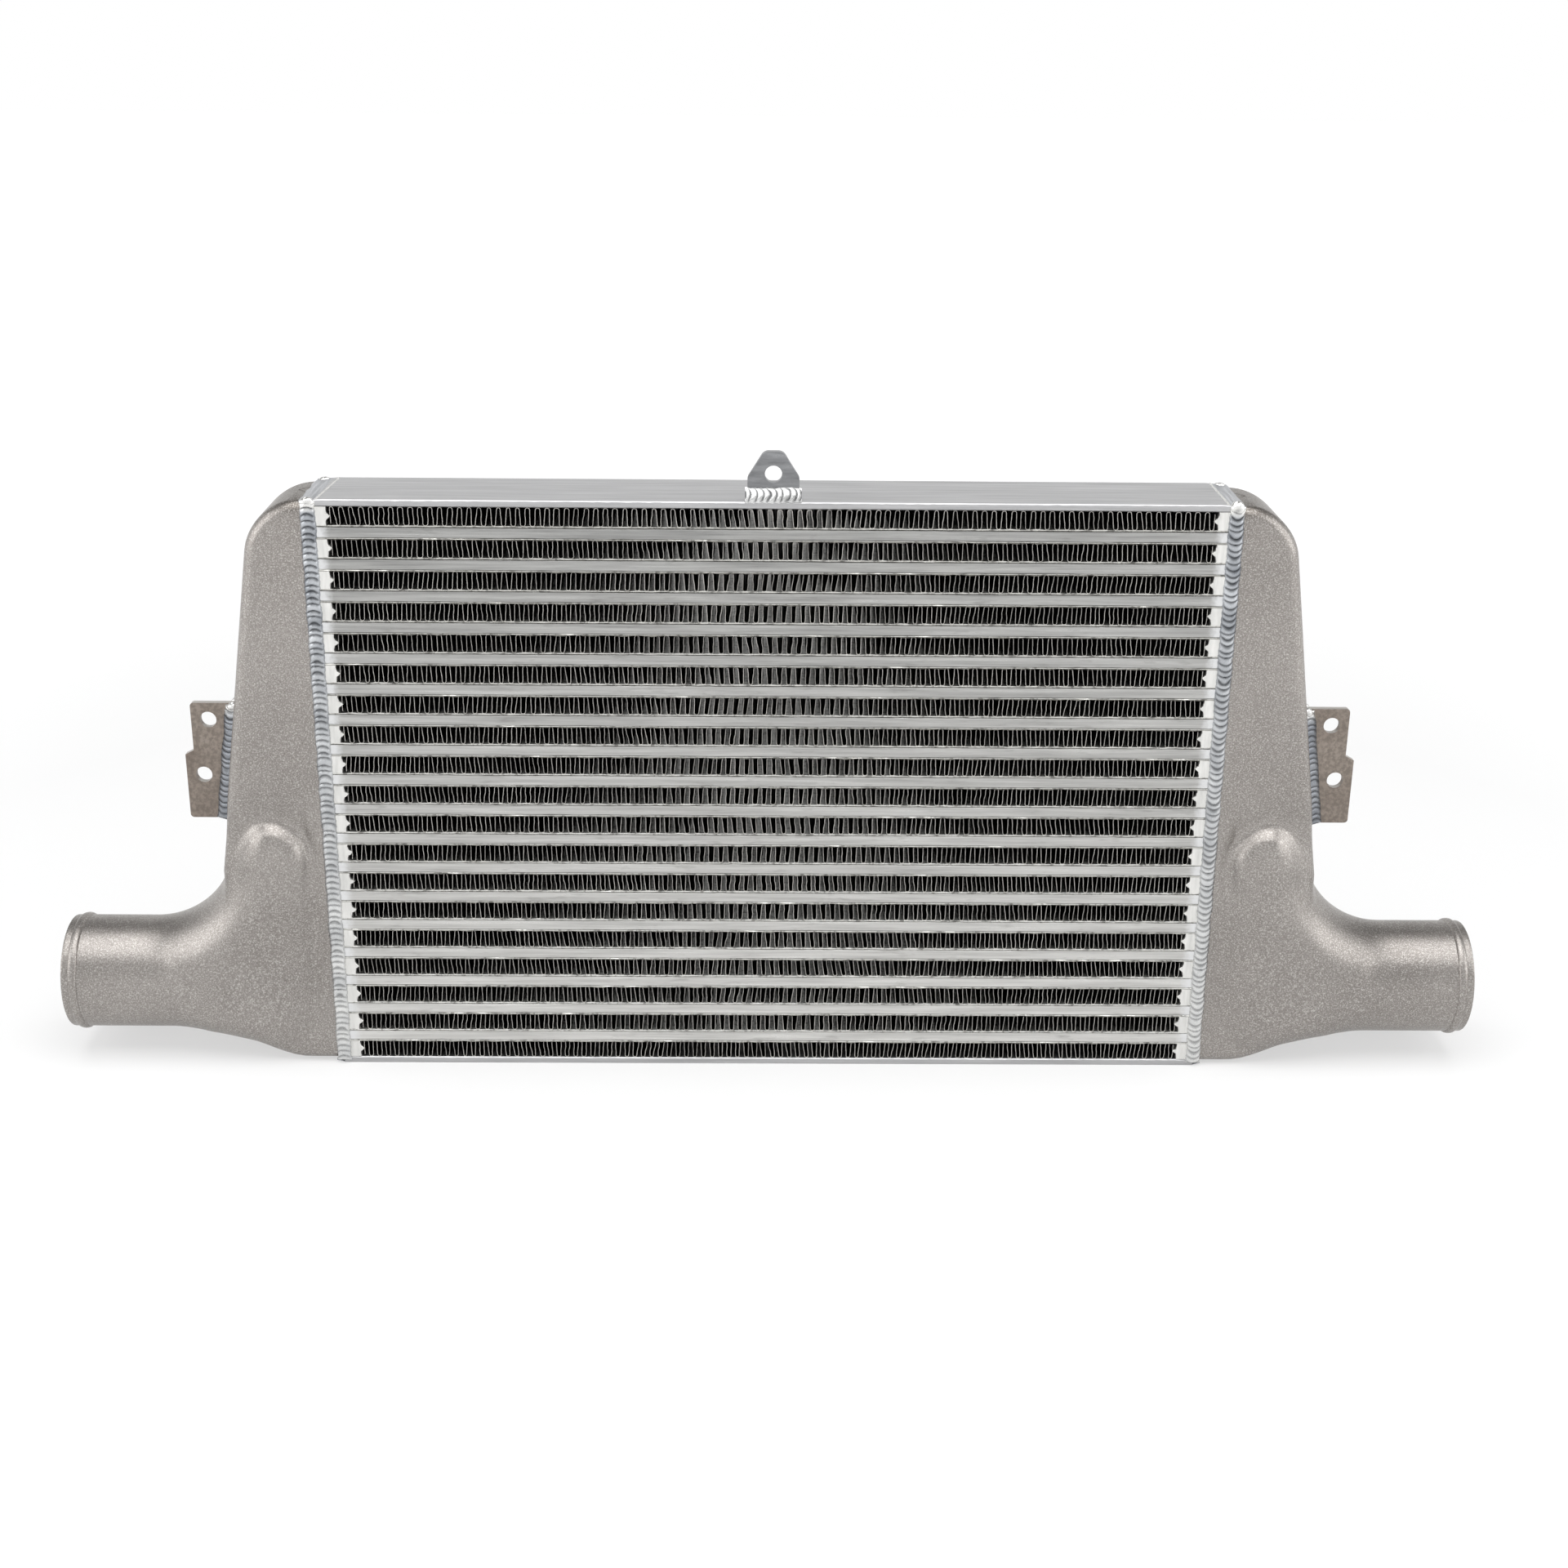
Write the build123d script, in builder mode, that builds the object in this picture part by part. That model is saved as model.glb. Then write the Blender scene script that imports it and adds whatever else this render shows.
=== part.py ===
from build123d import *

import os
from math import atan2, cos, degrees, hypot, radians, sin, tan

# Bar-and-plate air-to-air intercooler with two cast end tanks, standing on its long lower edge.
# Millimetres. X runs along the core from tank to tank, Y through the core (front is -Y), Z up.
# The origin is the middle of the core's underside.

# Core
core_length = 483.0
core_depth = 52.6
cover_thickness = 3.8
air_row_count = 19
air_row_height = 10.15
charge_row_height = 6.0
sheet_thickness = 0.5
header_bar_depth = 6.35
end_bar_width = 9.3
end_bar_nose_length = 1.7
end_bar_nose_height = 4.6
air_fin_waves = 8
air_fin_gauge = 0.4
air_fin_end_gap = 0.3
air_fin_inset = 0.6
turbulator_waves = 3
turbulator_gauge = 0.35
turbulator_end_gap = 0.5

# End tanks
tank_wall = 3.2
tank_step = 1.0
tank_top_width = 31.8
tank_taper = 8.1
tank_top_corner = 28.0
tank_bottom_corner = 38.0
tank_edge_bevel = 4.0
tank_heel = 4.0
tank_knee_round = 12.0

# Hose necks and the elbows that carry them
neck_diameter = 63.5
neck_height = 45.0
neck_reach = 154.8
neck_lip_bevel = 0.8
bead_width = 4.6
bead_height = 1.4
bead_setback = 6.4
elbow_inner_bend = 38.0
elbow_core_gap = 9.0
elbow_crown = 145.0
elbow_corner = 27.0
elbow_shoulder_round = 22.0
elbow_edge_bevel = 16.0
elbow_lean_in = 2.5
elbow_sag = 9.5
elbow_sag_reach = 80.5
neck_turned_length = 16.0
neck_turned_margin = 0.2

# Side brackets
bracket_thickness = 4.0
bracket_top = 207.0
bracket_bottom = 140.0
bracket_step_height = 177.0
bracket_reach = 76.5
bracket_step = 4.8
bracket_step_rise = 2.6
bracket_corner = 2.0
bracket_hole_diameter = 9.0
bracket_hole_setback = 9.6
bracket_hole_edge = 9.4
bracket_hole_spacing = 32.0

# Upper mounting tab
tab_width = 27.0
tab_height = 25.6
tab_thickness = 4.0
tab_setback = 4.3
tab_shoulder_height = 12.0
tab_crown_width = 10.0
tab_shoulder_round = 4.0
tab_crown_round = 4.5
tab_hole_diameter = 9.0
tab_hole_height = 13.8

# Weld beads
tank_bead_width = 8.2
tank_bead_height = 2.1
bracket_bead_leg = 4.6
tab_bead_width = 29.4
tab_front_bead_rise = 6.6
tab_rear_bead_leg = 4.5

# Worked out from the values above
charge_row_count = air_row_count - 1
charge_pitch = charge_row_height + 2 * sheet_thickness
row_pitch = air_row_height + charge_pitch
core_height = 2 * cover_thickness + air_row_count * air_row_height + charge_row_count * charge_pitch
core_end = core_length / 2
core_face = core_depth / 2
fin_end = core_end - end_bar_width
neck_radius = neck_diameter / 2
neck_mouth = core_end + neck_reach
elbow_core_side = core_end + elbow_core_gap
bracket_upper_reach = core_end + bracket_reach
bracket_lower_reach = bracket_upper_reach + bracket_step
knee_height = neck_height + neck_radius + elbow_inner_bend
tank_top = core_height - tank_step
tank_bottom = tank_step


def air_row_floor(index):
    """Height of the underside of an air row, counted from the bottom."""
    return cover_thickness + index * row_pitch


def charge_row_floor(index):
    """Height of the underside of a charge row, counted from the bottom."""
    return air_row_floor(index) + air_row_height + sheet_thickness


def tank_side(height, inset=0.0):
    """How far out the sloping side of a tank lies at a height, less a wall."""
    lean = radians(tank_taper)
    return core_end + tank_top_width + (tank_top - height) * tan(lean) - inset / cos(lean)


elbow_bend_x = tank_side(neck_height + neck_radius) + elbow_lean_in + elbow_inner_bend


def bevel_inside(bevel, inset):
    """Bevel of the hollow's edge that keeps the wall as thick across it as beside it."""
    return bevel - inset * (2 - 2**0.5)


def corrugation(length, height, waves, gauge):
    """Corners of a folded strip that zigzags between two flat plates, with its sheet gauge."""
    leg_run = length / (2 * waves)
    slant = (leg_run**2 + (height - gauge) ** 2) ** 0.5
    rise = gauge * slant / leg_run
    folds = [(-length / 2 + fold * leg_run, fold % 2) for fold in range(2 * waves + 1)]
    upper = [(along, height if high else rise) for along, high in folds]
    lower = [(along, height - rise if high else 0.0) for along, high in folds]
    return upper + lower[::-1]


def save(part, name):
    """Labels a finished piece and writes it under the name of its node."""
    part.label = name
    export_step(part, f"parts/{name}.step")


os.makedirs("parts", exist_ok=True)

# Cover plates above and below the stack
with BuildPart() as bottom_plate:
    with BuildSketch(Plane.XY):
        Rectangle(core_length, core_depth)
    extrude(amount=cover_thickness)

with BuildPart() as top_plate:
    with BuildSketch(Plane.XY.offset(core_height - cover_thickness)):
        Rectangle(core_length, core_depth)
    extrude(amount=cover_thickness)

# Thin sheets that part the air rows from the charge rows
with BuildPart() as parting_sheets:
    for row in range(charge_row_count):
        for floor in (air_row_floor(row) + air_row_height, charge_row_floor(row) + charge_row_height):
            with BuildSketch(Plane.XY.offset(floor)):
                Rectangle(core_length, core_depth)
            extrude(amount=sheet_thickness)


def header_bars(side):
    """Solid bars that close the charge rows along one long face; side is -1 in front, 1 behind."""
    middle = side * (core_face - header_bar_depth / 2)
    with BuildPart() as bars:
        for row in range(charge_row_count):
            with BuildSketch(Plane.XY.offset(charge_row_floor(row))):
                with Locations((0, middle)):
                    Rectangle(core_length, header_bar_depth)
            extrude(amount=charge_row_height)
    return bars.part


def end_bars(side):
    """Extruded bars that close the air rows at one end, each with a nose between the fins."""
    with BuildPart() as bars:
        for row in range(air_row_count):
            floor = air_row_floor(row)
            middle = floor + air_row_height / 2
            nose = end_bar_nose_height / 2
            with BuildSketch(Plane.XZ):
                with BuildLine():
                    Polyline(
                        (side * core_end, floor),
                        (side * core_end, floor + air_row_height),
                        (side * fin_end, floor + air_row_height),
                        (side * fin_end, middle + nose),
                        (side * (fin_end - end_bar_nose_length), middle),
                        (side * fin_end, middle - nose),
                        (side * fin_end, floor),
                        close=True,
                    )
                make_face()
            extrude(amount=core_face, both=True)
    return bars.part


def air_fin(row):
    """One row of folded air fin: the zigzag is seen from the front and runs through the core."""
    length = 2 * (fin_end - end_bar_nose_length - air_fin_end_gap)
    corners = corrugation(length, air_row_height, air_fin_waves, air_fin_gauge)
    with BuildPart() as fin:
        with BuildSketch(Plane.XZ):
            with BuildLine():
                Polyline([(x, air_row_floor(row) + z) for x, z in corners], close=True)
            make_face()
        extrude(amount=core_face - air_fin_inset, both=True)
    return fin.part


def turbulator(row):
    """One folded strip inside a charge row, with its channels running from tank to tank."""
    width = core_depth - 2 * (header_bar_depth + turbulator_end_gap)
    corners = corrugation(width, charge_row_height, turbulator_waves, turbulator_gauge)
    with BuildPart() as strip:
        with BuildSketch(Plane.YZ):
            with BuildLine():
                Polyline([(y, charge_row_floor(row) + z) for y, z in corners], close=True)
            make_face()
        extrude(amount=core_end - turbulator_end_gap, both=True)
    return strip.part


# A tank is drawn for the right-hand end and mirrored for the left
def tank_shell(inset):
    """Slab of a tank seen from the front: sloping outer side and two large outer corners."""
    top = tank_top - inset
    bottom = tank_bottom + inset
    knee = (tank_side(knee_height, inset), knee_height)
    foot = (tank_side(knee_height, inset) - tank_heel, bottom)
    with BuildPart() as shell:
        with BuildSketch(Plane.XZ.offset(inset - core_face)):
            with BuildLine():
                FilletPolyline(
                    (core_end, bottom),
                    foot,
                    knee,
                    (tank_side(top, inset), top),
                    (core_end, top),
                    radius=[tank_bottom_corner - inset, tank_knee_round, tank_top_corner - inset],
                )
                Line((core_end, top), (core_end, bottom))
            make_face()
        extrude(amount=2 * (core_face - inset))
        rims = shell.edges().filter_by_position(Axis.X, core_end + tank_wall, neck_mouth)
        rims = rims.group_by(Axis.Y)[0] + rims.group_by(Axis.Y)[-1]
        chamfer(rims, bevel_inside(tank_edge_bevel, inset))
    return shell.part


def elbow_pod(inset):
    """Swollen elbow that turns the tank into the neck, as thick as the neck is across."""
    floor = neck_height - neck_radius + inset
    sag_start = (core_end + elbow_sag_reach, floor)
    ceiling = neck_height + neck_radius - inset
    crown = elbow_crown - inset
    wall = elbow_core_side + inset
    side_top = (tank_side(crown, inset) - elbow_lean_in, crown)
    side_foot = (tank_side(ceiling, inset) + elbow_lean_in, ceiling)
    turn = elbow_corner - inset
    with BuildPart() as pod:
        with BuildSketch(Plane.XZ.offset(inset - neck_radius)):
            with BuildLine():
                FilletPolyline(
                    (elbow_bend_x, floor),
                    sag_start,
                    (wall, floor - elbow_sag),
                    (wall, crown),
                    side_top,
                    side_foot,
                    (elbow_bend_x, ceiling),
                    radius=[turn, turn, turn, elbow_shoulder_round - inset, elbow_inner_bend + inset],
                )
                Line((elbow_bend_x, ceiling), (elbow_bend_x, floor))
            make_face()
        extrude(amount=2 * (neck_radius - inset))
        rims = pod.edges().filter_by_position(Axis.X, 0, elbow_bend_x - tank_wall)
        rims = rims.group_by(Axis.Y)[0] + rims.group_by(Axis.Y)[-1]
        chamfer(rims, bevel_inside(elbow_edge_bevel, inset))
    return pod.part


def turned_end():
    """Stretch in which the elbow's eight-sided end is turned down to the round neck by a cone."""
    over_corners = hypot(neck_radius, neck_radius - elbow_edge_bevel) + neck_turned_margin
    with BuildPart() as end:
        with BuildSketch(Plane.YZ.offset(elbow_bend_x)) as section:
            with Locations((0, neck_height)):
                Rectangle(neck_diameter, neck_diameter)
            chamfer(section.vertices(), elbow_edge_bevel)
        extrude(amount=neck_turned_length)
        with Locations(Plane(origin=(elbow_bend_x, 0, neck_height), z_dir=(1, 0, 0))):
            Cone(
                over_corners,
                neck_radius,
                neck_turned_length,
                align=(Align.CENTER, Align.CENTER, Align.MIN),
                mode=Mode.INTERSECT,
            )
    return end.part


def neck_tube(start, radius):
    """Round stretch of the neck, or its bore, from a place along X to the mouth."""
    with BuildPart() as tube:
        with BuildSketch(Plane.YZ.offset(start)):
            with Locations((0, neck_height)):
                Circle(radius)
        extrude(amount=neck_mouth - start)
    return tube.part


def tank_hollow():
    """Inside of a tank: the slab and the elbow less a wall, and the round bore that meets the elbow."""
    with BuildPart() as hollow:
        add(tank_shell(tank_wall))
        add(elbow_pod(tank_wall))
        add(neck_tube(elbow_bend_x, neck_radius - tank_wall))
    return hollow.part


with BuildPart() as right_tank:
    add(tank_shell(0.0))
    add(elbow_pod(0.0))
    add(turned_end())
    add(neck_tube(elbow_bend_x + neck_turned_length, neck_radius))
    with BuildSketch(Plane.XZ):
        with Locations((neck_mouth - bead_setback, neck_height + neck_radius + bead_height / 2)):
            Trapezoid(bead_width, bead_height, degrees(atan2(bead_height, bead_width / 4)))
    revolve(axis=Axis((0, 0, neck_height), (1, 0, 0)))
    add(tank_hollow(), mode=Mode.SUBTRACT)
    lip = right_tank.edges().group_by(Axis.X)[-1].sort_by(SortBy.LENGTH)[-1]
    chamfer(lip, neck_lip_bevel)

with BuildPart() as left_tank:
    mirror(right_tank.part, about=Plane.YZ)


# Weld beads that join a tank to the core: in front, behind, on top and below
with BuildPart() as right_tank_weld:
    with BuildSketch(Plane.XY.offset(tank_bottom)):
        with BuildLine():
            ThreePointArc(
                (core_end - tank_bead_width / 2, -core_face),
                (core_end, -core_face - tank_bead_height),
                (core_end + tank_bead_width / 2, -core_face),
            )
            Line((core_end + tank_bead_width / 2, -core_face), (core_end - tank_bead_width / 2, -core_face))
        make_face()
    extrude(amount=tank_top - tank_bottom)
    mirror(about=Plane.XZ)
    for plate_level, tank_level in ((core_height, tank_top), (0.0, tank_bottom)):
        with BuildSketch(Plane.XZ):
            with BuildLine():
                Polyline(
                    (core_end, plate_level),
                    (core_end, tank_level),
                    (core_end + tank_bead_width / 2, tank_level),
                    close=True,
                )
            make_face()
        extrude(amount=core_face, both=True)

with BuildPart() as left_tank_weld:
    mirror(right_tank_weld.part, about=Plane.YZ)

# Laser-cut bracket plates, welded edge-on to the sloping sides of the tanks
with BuildPart() as right_bracket:
    with BuildSketch(Plane.XZ) as outline:
        with BuildLine():
            Polyline(
                (tank_side(bracket_top), bracket_top),
                (bracket_upper_reach, bracket_top),
                (bracket_upper_reach, bracket_step_height + bracket_step_rise),
                (bracket_lower_reach, bracket_step_height),
                (bracket_lower_reach, bracket_bottom),
                (tank_side(bracket_bottom), bracket_bottom),
                close=True,
            )
        make_face()
        ends = outline.vertices().group_by(Axis.Y)
        fillet([end.sort_by(Axis.X)[-1] for end in (ends[0], ends[-1])], bracket_corner)
        upper_hole = (bracket_upper_reach - bracket_hole_edge, bracket_top - bracket_hole_setback)
        lower_hole = (bracket_lower_reach - bracket_hole_edge, upper_hole[1] - bracket_hole_spacing)
        with Locations(upper_hole, lower_hole):
            Circle(bracket_hole_diameter / 2, mode=Mode.SUBTRACT)
    extrude(amount=bracket_thickness / 2, both=True)

with BuildPart() as left_bracket:
    mirror(right_bracket.part, about=Plane.YZ)

# Fillet welds along both faces of a bracket
with BuildPart() as right_bracket_weld:
    lean = radians(tank_taper)
    foot = Plane(
        origin=(tank_side(bracket_bottom), 0, bracket_bottom),
        x_dir=(cos(lean), 0, sin(lean)),
        z_dir=(-sin(lean), 0, cos(lean)),
    )
    with BuildSketch(foot):
        with BuildLine():
            Polyline(
                (0, -bracket_thickness / 2),
                (bracket_bead_leg, -bracket_thickness / 2),
                (0, -bracket_thickness / 2 - bracket_bead_leg),
                close=True,
            )
        make_face()
    extrude(amount=(bracket_top - bracket_bottom) / cos(lean))
    mirror(about=Plane.XZ)

with BuildPart() as left_bracket_weld:
    mirror(right_bracket_weld.part, about=Plane.YZ)

# Upright mounting tab at the middle of the top plate, close to its front edge
tab_face = core_face - tab_setback
with BuildPart() as top_tab:
    with BuildSketch(Plane.XZ.offset(tab_face)):
        with BuildLine():
            FilletPolyline(
                (-tab_width / 2, core_height),
                (-tab_width / 2, core_height + tab_shoulder_height),
                (-tab_crown_width / 2, core_height + tab_height),
                (tab_crown_width / 2, core_height + tab_height),
                (tab_width / 2, core_height + tab_shoulder_height),
                (tab_width / 2, core_height),
                radius=[tab_shoulder_round, tab_crown_round, tab_crown_round, tab_shoulder_round],
            )
            Line((tab_width / 2, core_height), (-tab_width / 2, core_height))
        make_face()
        with Locations((0, core_height + tab_hole_height)):
            Circle(tab_hole_diameter / 2, mode=Mode.SUBTRACT)
    extrude(amount=-tab_thickness)

with BuildPart() as top_tab_weld:
    front_toe = (-core_face, core_height)
    front_root = (-tab_face, core_height)
    front_crest = (-tab_face, core_height + tab_front_bead_rise)
    rear_root = (-tab_face + tab_thickness, core_height)
    rear_toe = (-tab_face + tab_thickness + tab_rear_bead_leg, core_height)
    rear_crest = (-tab_face + tab_thickness, core_height + tab_rear_bead_leg)
    for bead in ((front_toe, front_root, front_crest), (rear_root, rear_toe, rear_crest)):
        with BuildSketch(Plane.YZ):
            with BuildLine():
                Polyline(*bead, close=True)
            make_face()
        extrude(amount=tab_bead_width / 2, both=True)

save(bottom_plate.part, "bottom_plate")
save(top_plate.part, "top_plate")
save(parting_sheets.part, "parting_sheets")
save(header_bars(-1), "front_header_bars")
save(header_bars(1), "rear_header_bars")
save(end_bars(-1), "left_end_bars")
save(end_bars(1), "right_end_bars")
for row in range(air_row_count):
    save(air_fin(row), f"air_fin_{row + 1:02d}")
for row in range(charge_row_count):
    save(turbulator(row), f"turbulator_{row + 1:02d}")
save(right_tank.part, "right_tank")
save(left_tank.part, "left_tank")
save(right_tank_weld.part, "right_tank_weld")
save(left_tank_weld.part, "left_tank_weld")
save(right_bracket.part, "right_bracket")
save(left_bracket.part, "left_bracket")
save(right_bracket_weld.part, "right_bracket_weld")
save(left_bracket_weld.part, "left_bracket_weld")
save(top_tab.part, "top_tab")
save(top_tab_weld.part, "top_tab_weld")
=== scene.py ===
import math

import bmesh
import bpy
import numpy as np
from mathutils import Matrix, Vector


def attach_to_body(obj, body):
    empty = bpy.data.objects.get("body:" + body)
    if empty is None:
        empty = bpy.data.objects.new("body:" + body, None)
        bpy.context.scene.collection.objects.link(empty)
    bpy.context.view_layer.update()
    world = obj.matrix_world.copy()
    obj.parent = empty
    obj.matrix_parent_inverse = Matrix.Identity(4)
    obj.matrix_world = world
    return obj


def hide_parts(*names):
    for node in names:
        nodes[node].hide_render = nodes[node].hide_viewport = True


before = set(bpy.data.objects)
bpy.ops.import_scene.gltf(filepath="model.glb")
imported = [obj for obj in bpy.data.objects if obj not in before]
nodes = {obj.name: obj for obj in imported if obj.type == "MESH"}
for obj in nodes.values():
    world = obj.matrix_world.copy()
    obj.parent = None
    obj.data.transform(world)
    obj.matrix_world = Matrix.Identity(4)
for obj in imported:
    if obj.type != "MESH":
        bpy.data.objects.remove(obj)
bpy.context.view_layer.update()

# Lengths below are in millimetres, in the part's frame: X along the core, front at -Y, Z up.
CORE_END = 241.5
CORE_FACE = 26.3
CORE_TOP = 326.45
COVER = 3.8
END_DROP = 0.8
AIR_ROWS = 19
AIR_HEIGHT = 10.15
BAR_HEIGHT = 6.0
BAR_DEPTH = 6.35
SHEET = 0.5
ROW_PITCH = AIR_HEIGHT + BAR_HEIGHT + 2 * SHEET
END_BAR = 232.2
NOSE = 2.5
FIN_REACH = 230.0
FIN_GAUGE = 0.32
FIN_INSET = 0.6

TANK_TOP = 325.45
TANK_FLOOR = 1.0
TANK_TOP_WIDTH = 31.8
TANK_LEAN = math.radians(8.1)
TANK_WALL = 3.2
TANK_CORNER = 28.0
TANK_FOOT = 38.0
NECK_RADIUS = 31.75
NECK_HEIGHT = 45.0
NECK_MOUTH = 396.3
BEAD_AT = 389.9
BEAD_HALF = 2.45
BEAD_RISE = 1.33
LIP = 0.9

# The elbow: the middle of its round bend, the neck's upper and lower line, the top and the core side of
# its L, how far its outer side stands out at the neck and in at the top, its corners and its rims.
PIVOT_X = 341.9
PIVOT_Z = 114.75
BEND_RADIUS = 38.0
NECK_OVER = NECK_HEIGHT + NECK_RADIUS
NECK_UNDER = NECK_HEIGHT - NECK_RADIUS
ELBOW_TOP = 145.0
ELBOW_SIDE = 253.5
ELBOW_STEP = 2.5
CROWN_CORNER = 24.0
CORE_CORNER = 25.0
FLOOR_CORNER = 27.0
FLOOR_SAG = 6.4
CROWN_RISE = 1.0
CROWN_RIM = 12.0
LOWER_RIM = 17.0
ELBOW_FILLET = 4.5

# The slab round it: its rim, how far the heel comes in and the scale of the distance past it, and the depth
# and breadth of the dish.
TANK_RIM = 7.5
HEEL_IN = 4.0
HEEL_SCALE = 0.9975
DISH_DEPTH = 2.2
DISH_BREADTH = 24.0

# Where these fade in, each as a start and a length: the dish in two steps upward and from the weld
# outward, the round section of the neck, and, counted towards the core, the sag of the elbow's floor.
DISH_LOW = (24.0, 30.0)
DISH_HIGH = (100.0, 34.0)
DISH_INNER = (246.0, 10.0)
ONTO_NECK = (296.0, 45.0)
SAG = (-324.0, 52.0)

# Points in half a ring of the tank: from the middle of the opening to its edge, along the front, and back
# to the middle of the outer side; and half the breadth of the oblong at which the rays aim.
OPENING_STEPS = 9
FRONT_STEPS = 58
OUTER_STEPS = 16
OBLONG = 27.5

BRACKET_TOP = 207.0
BRACKET_BOTTOM = 140.0
BRACKET_THICK = 4.0
TAB_FRONT = 22.0
TAB_THICK = 4.0
TAB_WELD_HALF = 14.7

# Height of the core in metres, by which the materials are shaded.
CORE_METRES = 0.326


def air_floor(row):
    """Lowest level of an air row; rows are counted from the bottom."""
    return COVER + row * ROW_PITCH


def bar_floor(row):
    """Lowest level of the header bars above that air row."""
    return air_floor(row) + AIR_HEIGHT + SHEET


# Mesh helpers
def make_mesh(name, points, blocks, material, sharp=35.0):
    """One object from points in mm and blocks of faces: arrays of corner numbers, 3 or 4 to a row."""
    mesh = bpy.data.meshes.new(name)
    blocks = [np.asarray(block, np.int32) for block in blocks if len(block)]
    sizes = np.concatenate([np.full(len(block), block.shape[1]) for block in blocks])
    starts = np.concatenate([[0], np.cumsum(sizes)[:-1]])
    mesh.vertices.add(len(points))
    mesh.vertices.foreach_set("co", (np.asarray(points) / 1000).astype(np.float32).ravel())
    mesh.loops.add(int(sizes.sum()))
    mesh.loops.foreach_set("vertex_index", np.concatenate([block.ravel() for block in blocks]))
    mesh.polygons.add(len(sizes))
    mesh.polygons.foreach_set("loop_start", starts.astype(np.int32))
    mesh.update(calc_edges=True)
    mesh.shade_smooth()
    mesh.set_sharp_from_angle(angle=math.radians(sharp))
    mesh.materials.append(material)
    obj = bpy.data.objects.new(name, mesh)
    bpy.context.scene.collection.objects.link(obj)
    return obj


def attach(obj, slot, *replaced):
    """Fastens an object to the body, with the CAD nodes that it replaces hidden; its slot is not used."""
    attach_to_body(obj, "root")
    if replaced:
        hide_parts(*replaced)
    return obj


def point_values(obj, name, values):
    attribute = obj.data.attributes.new(name, "FLOAT", "POINT")
    attribute.data.foreach_set("value", np.asarray(values, np.float32))


def grid_faces(rows, columns, wrap=False):
    """Quads between consecutive rows of a grid of points; wrap also joins the last column to the first."""
    across = columns if wrap else columns - 1
    r, c = np.meshgrid(np.arange(rows - 1), np.arange(across), indexing="ij")
    n = (c + 1) % columns
    quads = np.stack([r * columns + c, r * columns + n, (r + 1) * columns + n, (r + 1) * columns + c], -1)
    return quads.reshape(-1, 4)


def outward(points, blocks):
    """Turns a closed surface's faces outward: its volume, summed over the faces, has to be positive."""
    centred = points - points.mean(0)
    volume = 0.0
    for block in blocks:
        a, b, c, d = (centred[block[:, k]] for k in (0, 1, 2, -1))
        volume += np.einsum("ij,ij->", a, np.cross(b, c)) + np.einsum("ij,ij->", a, np.cross(c, d))
    return blocks if volume > 0 else [block[:, ::-1] for block in blocks]


def end_fans(rows, count):
    """Triangles over the first and the last ring of a grid, from two points that follow the grid's own."""
    n = np.arange(count)
    base = rows * count
    first = np.stack([np.full(count, base), (n + 1) % count, n], -1)
    last = np.stack([np.full(count, base + 1), base - count + n, base - count + (n + 1) % count], -1)
    return [first, last]


def closed_rings(rings):
    """Closed surface through rings of points, with a fan of triangles over each end ring."""
    rows, count = rings.shape[:2]
    points = np.concatenate([rings.reshape(-1, 3), [rings[0].mean(0), rings[-1].mean(0)]])
    return points, outward(points, [grid_faces(rows, count, wrap=True), *end_fans(rows, count)])


def joined(parts):
    """Several pieces, each (points, blocks, ...), as one pair of points and blocks, in the same order."""
    starts = np.cumsum([0] + [len(part[0]) for part in parts])
    points = np.concatenate([part[0] for part in parts])
    blocks = [block + start for part, start in zip(parts, starts) for block in part[1]]
    return points, blocks


def noise_1d(x, seed, scale, octaves):
    """Smooth noise along a line, roughly -1 to 1: a sum of cosines of random phase, four to an octave, each
    octave with half the wave length and half the height of the one before."""
    rng = np.random.default_rng(seed)
    x = np.asarray(x, float)
    halving = np.repeat(2.0 ** np.arange(octaves), 4)
    waves = scale / halving * rng.uniform(0.7, 1.4, len(halving))
    phases = rng.uniform(0, 2 * np.pi, len(halving))
    terms = np.cos(2 * np.pi * x[..., None] / waves + phases) / halving
    return terms.sum(-1) / (0.5 * (1 / halving).sum())


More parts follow.
